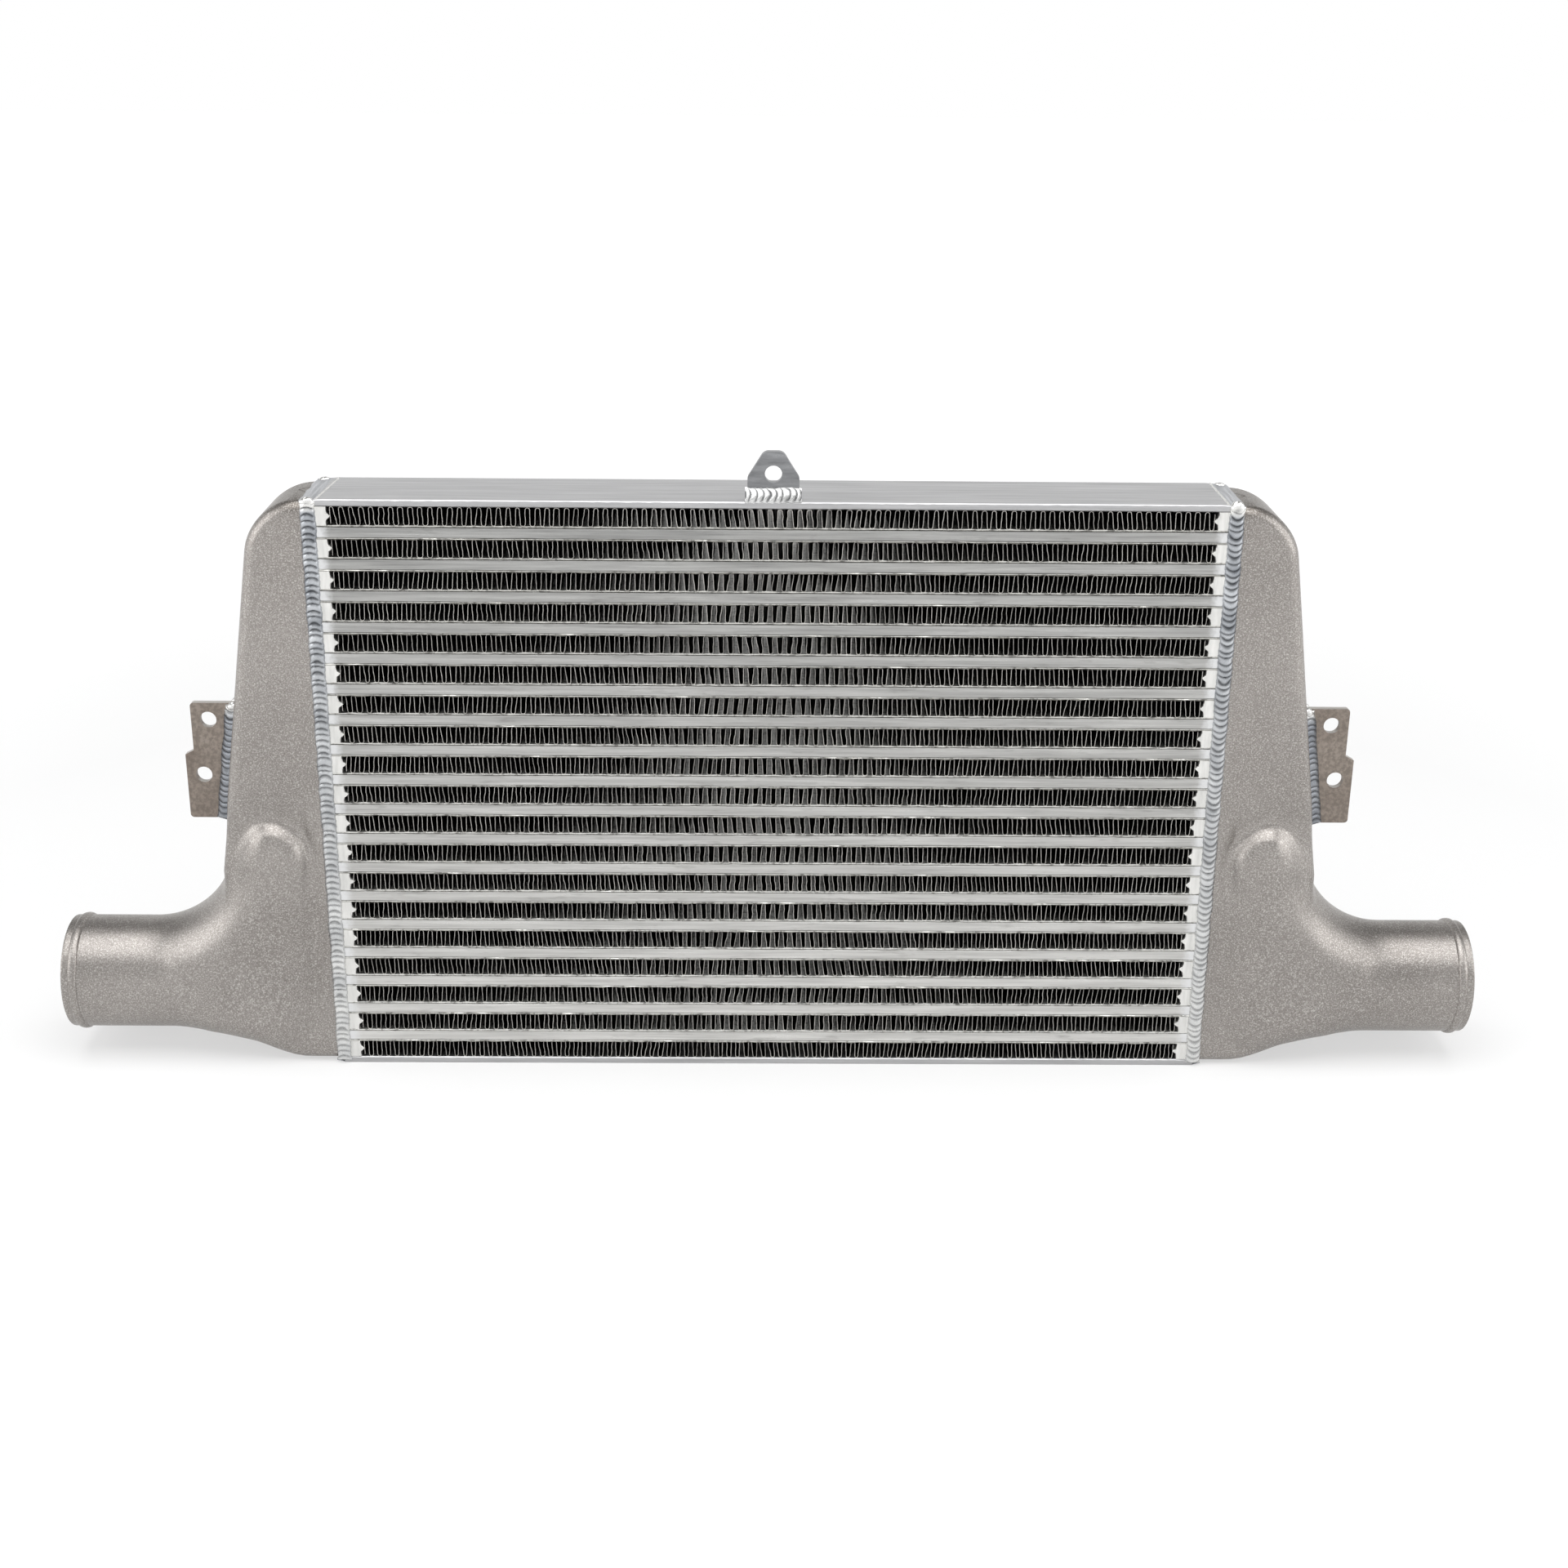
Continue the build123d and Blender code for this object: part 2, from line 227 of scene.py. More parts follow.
# Node-graph helper
class Graph:
    """A small way of writing node graphs: every call makes one node and returns its output."""

    def __init__(self, name):
        self.material = bpy.data.materials.new(name)
        self.material.use_nodes = True
        self.tree = self.material.node_tree
        self.tree.nodes.clear()
        self.output = self.tree.nodes.new("ShaderNodeOutputMaterial")
        self.shader = self.tree.nodes.new("ShaderNodeBsdfPrincipled")
        self.tree.links.new(self.shader.outputs[0], self.output.inputs[0])
        self.place = self.tree.nodes.new("ShaderNodeTexCoord").outputs["Object"]

    def put(self, socket, value):
        """Links another node's output or sets a plain value; None leaves the socket as it is."""
        if isinstance(value, bpy.types.NodeSocket):
            self.tree.links.new(value, socket)
        elif value is not None:
            socket.default_value = value

    def set(self, **values):
        """Inputs of the surface shader by name, with _ for a space."""
        for key, value in values.items():
            self.put(self.shader.inputs[key.replace("_", " ")], value)

    def math(self, operation, a, b=None, c=None, clamp=False):
        node = self.tree.nodes.new("ShaderNodeMath")
        node.operation = operation
        node.use_clamp = clamp
        for socket, value in zip(node.inputs, (a, b, c)):
            self.put(socket, value)
        return node.outputs[0]

    def stretch(self, scale):
        """The object's own coordinates, each times its own scale."""
        node = self.tree.nodes.new("ShaderNodeMapping")
        self.put(node.inputs["Vector"], self.place)
        node.inputs["Scale"].default_value = scale
        return node.outputs[0]

    def noise(self, scale, detail, rough, vector=None):
        node = self.tree.nodes.new("ShaderNodeTexNoise")
        self.put(node.inputs["Vector"], vector if vector is not None else self.place)
        node.inputs["Scale"].default_value = scale
        node.inputs["Detail"].default_value = detail
        node.inputs["Roughness"].default_value = rough
        return node.outputs[0]

    def ramp(self, value, *stops):
        """Maps a value through stops of (place, colour or grey)."""
        node = self.tree.nodes.new("ShaderNodeValToRGB")
        self.put(node.inputs[0], value)
        points = node.color_ramp.elements
        while len(points) < len(stops):
            points.new(0.5)
        for point, (at, colour) in zip(points, stops):
            point.position = at
            grey = isinstance(colour, (int, float))
            point.color = (colour, colour, colour, 1) if grey else (*colour, 1)
        return node.outputs[0]

    def mix(self, share, a, b):
        """From colour a at share 0 to colour b at share 1."""
        node = self.tree.nodes.new("ShaderNodeMix")
        node.data_type = "RGBA"
        self.put(node.inputs[0], share)
        for socket, value in ((node.inputs[6], a), (node.inputs[7], b)):
            self.put(socket, (*value, 1) if isinstance(value, tuple) and len(value) == 3 else value)
        return node.outputs[2]

    def axis(self, index, size=1.0):
        """Place along X, Y or Z in metres, divided by a size."""
        node = self.tree.nodes.new("ShaderNodeSeparateXYZ")
        self.put(node.inputs[0], self.place)
        return self.math("DIVIDE", node.outputs[index], size)

    def attribute(self, name):
        node = self.tree.nodes.new("ShaderNodeAttribute")
        node.attribute_name = name
        return node.outputs["Fac"]

    def bump(self, height, distance, strength, normal=None):
        node = self.tree.nodes.new("ShaderNodeBump")
        self.put(node.inputs["Height"], height)
        node.inputs["Distance"].default_value = distance
        node.inputs["Strength"].default_value = strength
        self.put(node.inputs["Normal"], normal)
        return node.outputs[0]


def srgb(*channels):
    """Linear colour of an 8-bit sRGB one."""
    return tuple(((c / 255 + 0.055) / 1.055) ** 2.4 if c > 10 else c / 255 / 12.92 for c in channels)


# Materials
def blasted_metal():
    """Bead-blasted cast aluminium: warm grey with a fine light and dark speckle; its top is darker and
    browner, a painted shade.
    """
    g = Graph("blasted_cast")
    blotch = g.noise(16.0, 3.0, 0.5)
    speck = g.noise(1300.0, 3.0, 0.7)
    grain = g.noise(620.0, 2.0, 0.6)
    height = g.axis(2, CORE_METRES)
    base = g.ramp(blotch, (0.35, srgb(141, 136, 132)), (0.65, srgb(153, 148, 144)))
    # Painted shade: the top few millimetres of the tank darkened towards brown.
    base = g.mix(g.ramp(height, (0.975, 0.0), (0.992, 0.7)), base, srgb(104, 97, 90))
    colour = g.mix(g.ramp(speck, (0.50, 0.0), (0.74, 0.8)), base, srgb(226, 223, 218))
    colour = g.mix(g.ramp(speck, (0.26, 0.60), (0.43, 0.0)), colour, srgb(92, 86, 80))
    g.set(Base_Color=colour, Metallic=0.85, Roughness=g.ramp(grain, (0.3, 0.33), (0.7, 0.42)))
    g.set(Normal=g.bump(grain, 0.0003, 0.12, g.bump(speck, 0.00022, 0.3)))
    return g.material


def weld_metal():
    """TIG bead: bluish bright ridges and, near the top, dark crescents of painted shade in the troughs
    between them; paler and frosted lower down.
    """
    g = Graph("tig_bead")
    fine = g.noise(900.0, 3.0, 0.6)
    cloud = g.ramp(g.noise(70.0, 2.0, 0.5), (0.35, 0.0), (0.7, 1.0))
    height = g.ramp(g.axis(2, CORE_METRES), (0.05, 0.0), (0.85, 1.0))
    cold = g.mix(cloud, srgb(146, 150, 156), srgb(206, 209, 213))
    pale = g.mix(cloud, srgb(205, 206, 206), srgb(228, 228, 226))
    base = g.mix(height, pale, cold)
    base = g.mix(g.math("MULTIPLY", g.attribute("smoke"), 0.75), base, srgb(104, 108, 116))
    base = g.mix(g.attribute("frost"), base, srgb(238, 237, 234))
    # Painted shade: the troughs between ripples darkened towards black, less so lower down.
    crescent_shade = g.math("MULTIPLY", g.attribute("trough_shade"), g.math("MULTIPLY_ADD", height, 0.4, 0.6), clamp=True)
    colour = g.mix(crescent_shade, base, srgb(26, 28, 32))
    g.set(Base_Color=colour, Metallic=0.85, Roughness=g.ramp(fine, (0.3, 0.22), (0.75, 0.4)))
    g.set(Normal=g.bump(fine, 0.00015, 0.5))
    return g.material


def streaked_normal(g, streak):
    """Normal of rolled metal: its streaks with a fine grain over them."""
    return g.bump(g.noise(1300.0, 2.0, 0.6), 0.0001, 0.4, g.bump(streak, 0.00012, 0.5))


def rolled_metal(name, dark, light, rough, along=(14.0, 420.0, 420.0)):
    """Rolled or brushed aluminium with fine streaks; the scales say along which axis they run."""
    g = Graph(name)
    streak = g.noise(1.0, 5.0, 0.65, g.stretch(along))
    broad = g.noise(1.0, 2.0, 0.5, g.stretch((5.0, 40.0, 40.0)))
    colour = g.mix(g.ramp(streak, (0.32, 0.0), (0.68, 1.0)), dark, light)
    colour = g.mix(g.math("MULTIPLY", g.ramp(broad, (0.35, 1.0), (0.6, 0.0)), 0.3), colour, dark)
    shine = g.ramp(streak, (0.3, rough + 0.1), (0.7, rough - 0.05))
    g.set(Base_Color=colour, Metallic=0.88, Roughness=shine, Normal=streaked_normal(g, streak))
    return g.material


def bar_metal():
    """Header bars: grey with lengthwise streaks, lighter towards the bottom as a painted reflection of the
    white floor, and whitened by heat at their ends."""
    g = Graph("bar_metal")
    streak = g.noise(1.0, 5.0, 0.65, g.stretch((16.0, 520.0, 520.0)))
    patch = g.noise(1.0, 3.0, 0.6, g.stretch((60.0, 90.0, 260.0)))
    light = g.ramp(streak, (0.3, 0.0), (0.7, 1.0))
    low = g.mix(light, srgb(186, 185, 182), srgb(222, 221, 218))
    high = g.mix(light, srgb(134, 134, 133), srgb(178, 178, 176))
    # Painted reflection: the bars lighter towards the bottom, as the white floor below would make them.
    colour = g.mix(g.axis(2, CORE_METRES), low, high)
    colour = g.mix(g.ramp(patch, (0.60, 0.0), (0.78, 0.35)), colour, srgb(96, 94, 90))
    end = g.math("ABSOLUTE", g.axis(0, CORE_END / 1000))
    frayed = g.math("MULTIPLY_ADD", g.noise(420.0, 2.0, 0.6), 0.02, end)
    colour = g.mix(g.ramp(frayed, (0.966, 0.0), (0.985, 0.85)), colour, srgb(226, 227, 228))
    g.set(Base_Color=colour, Metallic=0.85, Roughness=g.ramp(streak, (0.3, 0.40), (0.7, 0.26)))
    g.set(Normal=streaked_normal(g, streak))
    return g.material


def brazed_metal():
    """Edges of the parting sheets: a thin bright line of braze, broken by duller spots."""
    g = Graph("brazed_edge")
    spots = g.noise(330.0, 4.0, 0.7)
    height = g.axis(2, CORE_METRES)
    bright = g.mix(height, srgb(232, 232, 228), srgb(206, 205, 200))
    colour = g.mix(g.ramp(spots, (0.36, 0.75), (0.5, 0.0)), bright, srgb(118, 116, 111))
    g.set(Base_Color=colour, Metallic=0.75, Roughness=0.34)
    g.set(Normal=g.bump(spots, 0.0003, 0.6))
    return g.material


def fin_metal():
    """Thin folded fin: light grey at its cut edge, with painted shade behind it: darker at once and nearly
    black at the depth where the ramp ends."""
    g = Graph("fin_sheet")
    # Painted shade by depth: how far behind the core's face a point lies.
    behind = g.math("SUBTRACT", (CORE_FACE - FIN_INSET) / 1000, g.math("ABSOLUTE", g.axis(1)))
    dark_at = 0.006
    share = g.math("DIVIDE", behind, dark_at, clamp=True)
    patch = g.noise(1.0, 3.0, 0.6, g.stretch((60.0, 60.0, 60.0)))
    fine = g.noise(800.0, 2.0, 0.6)
    shade = g.ramp(share, (0.0, srgb(206, 203, 198)), (0.012, srgb(170, 168, 164)), (0.030, srgb(46, 45, 44)),
                   (0.12, srgb(18, 18, 17)), (0.5, srgb(8, 8, 8)), (1.0, srgb(3, 3, 3)))
    colour = g.mix(g.ramp(fine, (0.35, 0.25), (0.6, 0.0)), shade, srgb(24, 24, 23))
    colour = g.mix(g.ramp(patch, (0.38, 0.35), (0.55, 0.0)), colour, srgb(20, 20, 19))
    g.set(Base_Color=colour, Metallic=0.3, Roughness=0.6, Specular_IOR_Level=0.15)
    return g.material


def bracket_metal():
    """Laser-cut plate with a brownish grain; its faces that look up are painted paler, a painted highlight.
    """
    g = Graph("bracket_plate")
    grain = g.noise(420.0, 4.0, 0.65)
    cloud = g.noise(30.0, 2.0, 0.5)
    base = g.mix(g.ramp(cloud, (0.35, 0.0), (0.65, 1.0)), srgb(136, 125, 116), srgb(152, 142, 133))
    colour = g.mix(g.ramp(grain, (0.42, 0.5), (0.6, 0.0)), base, srgb(98, 90, 83))
    # Painted highlight: faces that look up are lightened by their normal.
    up = g.tree.nodes.new("ShaderNodeNewGeometry")
    facing = g.tree.nodes.new("ShaderNodeSeparateXYZ")
    g.put(facing.inputs[0], up.outputs["Normal"])
    colour = g.mix(g.ramp(facing.outputs[2], (0.55, 0.0), (0.9, 0.7)), colour, srgb(214, 211, 206))
    g.set(Base_Color=colour, Metallic=0.75, Roughness=0.42)
    g.set(Normal=g.bump(grain, 0.0002, 0.5))
    return g.material


CAST = blasted_metal()
WELD = weld_metal()
BAR = bar_metal()
BRAZED = brazed_metal()
PLATE = rolled_metal("plate_metal", srgb(168, 168, 169), srgb(190, 190, 191), 0.34)
BAND = rolled_metal("end_bar_metal", srgb(212, 212, 209), srgb(238, 237, 234), 0.42, (300.0, 300.0, 40.0))
SEAM = rolled_metal("ground_seam", srgb(140, 142, 146), srgb(190, 192, 196), 0.28, (480.0, 24.0, 300.0))
FIN = fin_metal()
BRACKET = bracket_metal()
TAB = rolled_metal("tab_metal", srgb(118, 119, 121), srgb(152, 153, 155), 0.30, (60.0, 200.0, 300.0))


# The cast tanks
def tank_side(height):
    """X of the tank's outer side, which leans outward from the top down."""
    return CORE_END + TANK_TOP_WIDTH + (TANK_TOP - height) * math.tan(TANK_LEAN)


def round_max(a, b, radius):
    """Outside corner of two half spaces, rounded: the larger of a and b with a circle of that radius."""
    arc = np.hypot(np.maximum(a + radius, 0), np.maximum(b + radius, 0))
    return np.minimum(np.maximum(a, b), -radius) + arc


def round_min(a, b, radius):
    """Inside corner, rounded in the same way."""
    return -round_max(-a, -b, radius)


def risen(value, start, length):
    """0 up to the start, 1 from the start plus the length on, and straight between."""
    return np.clip((value - start) / length, 0, 1)


def eased(share):
    """Smooth step: three times the square less twice the cube, level at 0 and at 1."""
    return share * share * (3 - 2 * share)


def tank_field(x, y, z):
    """Distance to the outside of the right tank, in mm: below 0 inside the metal or the hollow.

    The slab is the larger of its distances past the leaning outer side or the heel below it, past its top
    and past its floor, with two large corners, and past its faces, with a rounded rim.
    The elbow is an L: the larger of the distances past its leg's outer side and its top, or the distance
    past the neck's upper line where that is smaller, with a round inner bend; it ends towards the core and
    at a floor that sags on the core's side. Its faces bulge a little up to the neck, and their rims are
    small at the crown, larger beside the core, and grow to the neck's radius by the share of the way from
    the outer rim to the inner bend, and along the neck.
    Beside the elbow the slab's faces are dished, by one depth low down and by two at the crown. Where the
    distances to slab and elbow differ by less than the fillet, the smaller one is lowered by a parabola.
    """
    side = (x - tank_side(z)) * math.cos(TANK_LEAN)
    heel = (x - (tank_side(PIVOT_Z) - HEEL_IN * (PIVOT_Z - z) / (PIVOT_Z - TANK_FLOOR))) * HEEL_SCALE
    slab = round_max(round_max(np.maximum(side, heel), z - TANK_TOP, TANK_CORNER), TANK_FLOOR - z, TANK_FOOT)
    leg_top, leg_foot = tank_side(ELBOW_TOP) - ELBOW_STEP, tank_side(NECK_OVER) + ELBOW_STEP
    slope = (leg_foot - leg_top) / (ELBOW_TOP - NECK_OVER)
    leg = (x - (leg_top + (ELBOW_TOP - z) * slope)) / math.hypot(1, slope)
    bent = round_min(round_max(leg, z - ELBOW_TOP, CROWN_CORNER), z - NECK_OVER, BEND_RADIUS)
    floor = NECK_UNDER - FLOOR_SAG * eased(risen(-x, *SAG))
    elbow = round_max(round_max(bent, ELBOW_SIDE - x, CORE_CORNER), floor - z, FLOOR_CORNER)
    beside = eased(np.clip(1 - np.maximum(elbow, 0) / DISH_BREADTH, 0, 1))
    upper = risen(z, *DISH_HIGH)
    dish = DISH_DEPTH * (risen(z, *DISH_LOW) + upper) * beside * risen(x, *DISH_INNER)
    slab = round_max(slab, np.abs(y) - CORE_FACE + dish, TANK_RIM)
    from_bend = np.maximum(-round_min(leg, z - NECK_OVER, BEND_RADIUS), 0) + 1
    from_rim = np.maximum(np.minimum(x - ELBOW_SIDE, ELBOW_TOP - z), 0) + 1
    onto_neck = risen(x, *ONTO_NECK)
    share = eased(np.maximum(from_rim / (from_bend + from_rim), onto_neck))
    face = NECK_RADIUS + CROWN_RISE * (1 - eased(onto_neck))
    small = LOWER_RIM - (LOWER_RIM - CROWN_RIM) * upper
    elbow = round_max(elbow, np.abs(y) - face, small + (NECK_RADIUS - small) * share)
    soft = np.maximum(ELBOW_FILLET - np.abs(slab - elbow), 0) / ELBOW_FILLET
    return np.minimum(slab, elbow) - soft * soft * ELBOW_FILLET / 4


def reach(origin, direction, inset):
    """Distance from each origin along each direction to the skin that lies inset below the tank's outside,
    found by halving the longest stretch that a ray can have."""
    longest, halvings = 230.0, 34
    near = np.zeros(origin.shape[:-1])
    far = np.full(origin.shape[:-1], longest)
    for _ in range(halvings):
        middle = (near + far) / 2
        p = origin + direction * middle[..., None]
        value = np.maximum(tank_field(p[..., 0], p[..., 1], p[..., 2]) + inset, CORE_END - p[..., 0])
        inside = value < 0
        near = np.where(inside, middle, near)
        far = np.where(inside, far, middle)
    return (near + far) / 2


def tank_spine():
    """Centres and cross directions of the tank's rings: down the slab, round the middle of the elbow's
    bend, and out along the neck with rings set close together on the bead. One more ring lies just under
    the hollow's ceiling, and the hollow begins there."""
    ceiling = TANK_TOP - TANK_WALL - 0.02
    round_top = TANK_TOP - TANK_CORNER * (1 - np.cos(np.linspace(0.03, 1.2, 24)))
    straight = np.linspace(TANK_TOP - 20.5, PIVOT_Z, 74)[:-1]
    levels = np.sort(np.concatenate([round_top, straight, [ceiling]]))[::-1]
    squeeze = np.clip((TANK_TOP - levels) / TANK_CORNER, 0, 1)
    middle = CORE_END + (tank_side(levels) - CORE_END) * (0.30 + 0.20 * np.sqrt(squeeze))
    turns = np.radians(np.linspace(180, 270, 56))
    first = PIVOT_X - (CORE_END + tank_side(PIVOT_Z)) / 2
    away = first + (PIVOT_Z - NECK_HEIGHT - first) * (turns - math.pi) / (math.pi / 2)
    runs = np.concatenate([
        np.linspace(PIVOT_X, BEAD_AT - 3.2, 18)[1:],
        BEAD_AT + 2.6 * np.sin(np.linspace(-math.pi / 2, math.pi / 2, 15)),
        np.linspace(BEAD_AT + 3.0, NECK_MOUTH - LIP, 4),
    ])
    x = np.concatenate([middle, PIVOT_X + away * np.cos(turns), runs])
    z = np.concatenate([levels, PIVOT_Z + away * np.sin(turns), np.full(len(runs), NECK_HEIGHT)])
    axis_x = np.concatenate([np.full(len(levels), -1.0), np.cos(turns), np.zeros(len(runs))])
    axis_z = np.concatenate([np.zeros(len(levels)), np.sin(turns), np.full(len(runs), -1.0)])
    top_ring = int(np.argmin(np.abs(levels - ceiling)))
    return np.stack([x, 0 * x, z], -1), np.stack([axis_x, 0 * x, axis_z], -1), top_ring


def tank_rays(centres, axes, top_ring):
    """Directions of the rays from each centre, and the last ring that is open to the core.

    The rays aim at points of an oblong round the centre, up along the ring's axis and out along Y. They run
    from the middle of the side towards the core to the edge of the opening, round the corner, along the
    front and back to the middle of the outer side; the rear half mirrors them.
    """
    to_core, to_side = reach(centres, axes, 0.0)[:, None], reach(centres, -axes, 0.0)[:, None]
    just_inside, near_plane = 0.01, 0.3
    edge_at = centres + axes * (reach(centres, axes, TANK_WALL) - just_inside)[:, None]
    opening = reach(edge_at, np.broadcast_to((0.0, 1.0, 0.0), edge_at.shape), TANK_WALL)
    last_open = int(np.nonzero(np.abs(edge_at[:, 0] - CORE_END) < near_plane)[0].max())
    opening[:top_ring] = opening[top_ring]
    opening[last_open + 1:] = opening[last_open]
    back = opening[:, None] * np.linspace(0, 1, OPENING_STEPS)
    corner = opening[:, None] + (OBLONG - opening[:, None]) * np.array([0.5, 1.0])
    along = to_core - (to_core + to_side) * np.linspace(0, 1, FRONT_STEPS)[1:]
    down = OBLONG * np.linspace(1, 0, OUTER_STEPS)[1:] + 0 * to_side
    up = np.concatenate([to_core + 0 * back, to_core + 0 * corner, along, -to_side + 0 * down], axis=1)
    out = np.concatenate([back, corner, OBLONG + 0 * along, down], axis=1)
    rays = np.stack([np.concatenate([up, up[:, -2:0:-1]], 1), np.concatenate([out, -out[:, -2:0:-1]], 1)], -1)
    rays /= np.linalg.norm(rays, axis=-1, keepdims=True)
    return rays[..., :1] * axes[:, None, :] + rays[..., 1:] * np.array((0.0, 1.0, 0.0)), last_open


def mouth_lip(spokes):
    """Rings round the edge of the mouth: two quarter rounds that join the outer skin to the bore."""
    turn = np.linspace(0, math.pi / 2, 6)
    first, second = turn[1:], turn[:0:-1]
    bore = NECK_RADIUS - TANK_WALL
    radius = np.concatenate([NECK_RADIUS - LIP + LIP * np.cos(first), bore + LIP - LIP * np.cos(second)])
    lip = radius[:, None, None] * spokes + np.array((0, 0, NECK_HEIGHT))
    lip[..., 0] = (NECK_MOUTH - LIP + LIP * np.sin(np.concatenate([first, second])))[:, None]
    return lip


def right_tank_surface():
    """Points and faces of the right tank: rings of points on rays from the spine, at the distance where the
    field is 0 (outside) or less than 0 by the wall (inside). The rolled bead adds half an ellipse to the
    neck's radius. The top and the hollow's ceiling are closed by two smaller rings each. Cells of both
    skins on the core's end plane are left out, so that the tank is open to the core."""
    centres, axes, top_ring = tank_spine()
    direction, last_open = tank_rays(centres, axes, top_ring)
    origin = np.broadcast_to(centres[:, None, :], direction.shape)
    outer = origin + direction * reach(origin, direction, 0.0)[..., None]
    inner = origin + direction * reach(origin, direction, TANK_WALL)[..., None]
    swell = BEAD_RISE * np.sqrt(np.clip(1 - ((outer[..., 0] - BEAD_AT) / BEAD_HALF) ** 2, 0, 1))
    outer = outer + direction * np.where(centres[:, :1] > PIVOT_X, swell, 0)[..., None]
    shrink = np.array([0.35, 0.7])[:, None, None]
    cap = outer[0] * shrink + (1 - shrink) * np.array((outer[0, :, 0].mean(), 0, TANK_TOP))
    cap[..., 2] = TANK_TOP
    under = inner[top_ring] * shrink[::-1] + (1 - shrink[::-1]) * inner[top_ring].mean(0)
    lip = mouth_lip(direction[-1])
    inside = inner[top_ring:][::-1]
    grid = np.concatenate([cap, outer, lip, inside, under])
    rows, count = grid.shape[:2]
    keep = np.ones((rows - 1, count), bool)
    open_column = np.zeros(count, bool)
    open_column[:OPENING_STEPS - 1] = True
    open_column[count - OPENING_STEPS + 1:] = True
    keep[len(cap) + top_ring:len(cap) + last_open] &= ~open_column
    end_inside = len(cap) + len(outer) + len(lip) + len(inside) - 1
    keep[end_inside - (last_open - top_ring):end_inside] &= ~open_column
    quads = grid_faces(rows, count, wrap=True).reshape(rows - 1, count, 4)[keep]
    points = np.concatenate([grid.reshape(-1, 3), [cap[0].mean(0), under[-1].mean(0)]])
    return points, [quads, *end_fans(rows, count)]


def welded(points, blocks):
    """The same faces with points that share a place joined: a quad with one side shrunk to nothing becomes
    a triangle, and what shrinks further is left out."""
    grid = 1e-3
    _, first, index = np.unique(np.round(points / grid).astype(np.int64), axis=0,
                                return_index=True, return_inverse=True)
    index = index.reshape(-1)
    out = []
    for block in blocks:
        faces = index[np.asarray(block)]
        same = faces == np.roll(faces, -1, axis=1)
        out.append(faces[~same.any(1)])
        if faces.shape[1] == 4:
            lost = same.sum(1) == 1
            out += [np.delete(faces[lost & same[:, side]], side, axis=1) for side in range(4)]
    return points[first], out


tank_points, tank_blocks = welded(*right_tank_surface())
tank_blocks = outward(tank_points, tank_blocks)
for side, name in ((1, "right_tank"), (-1, "left_tank")):
    blocks = [block[:, ::side] for block in tank_blocks]
    tank = make_mesh(name + "_cast", tank_points * (side, 1, 1), blocks, CAST, 50)
    attach(tank, "cast_tank", name)


# Folded fins
def fin_line(row):
    """Mid line of one folded fin from the front, in X and Z: leg k stands at k times the step, leans by
    turns to either side and bends in a slight S, and half ellipses join the legs above and below."""
    rng = np.random.default_rng(100 + row)
    folds = 2 * int(rng.integers(87, 98))
    k = np.arange(folds + 1)
    x = -FIN_REACH + 2 * FIN_REACH * k / folds + rng.normal(0, 0.11, folds + 1) * (k > 0) * (k < folds)
    upward = np.where(k % 2 == 0, 1.0, -1.0)
    shear = rng.uniform(-0.5, 0.5) + 0.9 * noise_1d(x, 300 + row, 150.0, 2)
    pinch = 0.40 + 0.30 * noise_1d(x, 400 + row, 90.0, 2)
    lean = shear + pinch * upward + rng.normal(0, 0.12, folds + 1)
    bend = 0.24 * noise_1d(x, 500 + row, 40.0, 2) + rng.normal(0, 0.08, folds + 1)
    rise = np.linspace(-0.8, 0.8, 4) * upward[:, None]
    leg_x = x[:, None] + lean[:, None] * rise / 2 + bend[:, None] * np.sin(np.pi * rise)
    turn = np.radians([45, 90, 135])
    left, right = leg_x[:-1, -1:], leg_x[1:, :1]
    crest_x = (left + right) / 2 - (right - left) / 2 * np.cos(turn)
    crest = upward[:-1, None] * (0.8 + 0.2 * np.sin(turn))
    line_x = np.concatenate([np.concatenate([leg_x[:-1], crest_x], 1).ravel(), leg_x[-1]])
    line_z = np.concatenate([np.concatenate([rise[:-1], crest], 1).ravel(), rise[-1]])
    half = (AIR_HEIGHT - FIN_GAUGE) / 2
    return np.clip(line_x, -FIN_REACH, FIN_REACH), air_floor(row) + AIR_HEIGHT / 2 + half * line_z


def fin_mesh(row):
    """The fin's line given a gauge and swept through the core; behind both faces the line sways sideways,
    as the offset strips of such a fin do."""
    x, z = fin_line(row)
    dx, dz = np.gradient(x), np.gradient(z)
    size = np.hypot(dx, dz) + 1e-9
    normal = np.stack([-dz / size, 0 * x, dx / size], -1) * FIN_GAUGE / 2
    edge, behind = CORE_FACE - FIN_INSET, CORE_FACE - FIN_INSET - 2.8
    above = z - air_floor(row)
    sway = 0.75 * noise_1d(x, 600 + row, 70.0, 2) * above * (AIR_HEIGHT - above) / 20
    rings = []
    for y, share in ((-edge, 0), (-behind, 1), (behind, -1), (edge, 0)):
        middle = np.stack([x + share * sway, np.full_like(x, y), z], -1)
        rings.append(np.concatenate([middle + normal, (middle - normal)[::-1]]))
    grid = np.array(rings)
    rows, count = grid.shape[:2]
    n = np.arange(count // 2 - 1)
    front = np.stack([n, n + 1, count - 2 - n, count - 1 - n], -1)
    last = (rows - 1) * count
    rear = front[:, ::-1] + last
    points = grid.reshape(-1, 3)
    return points, outward(points, [grid_faces(rows, count, wrap=True)[:, ::-1], front, rear])


for row in range(AIR_ROWS):
    fin = make_mesh(f"fin_row_{row + 1:02d}", *fin_mesh(row), FIN, 60)
    attach(fin, "fin", f"air_fin_{row + 1:02d}")


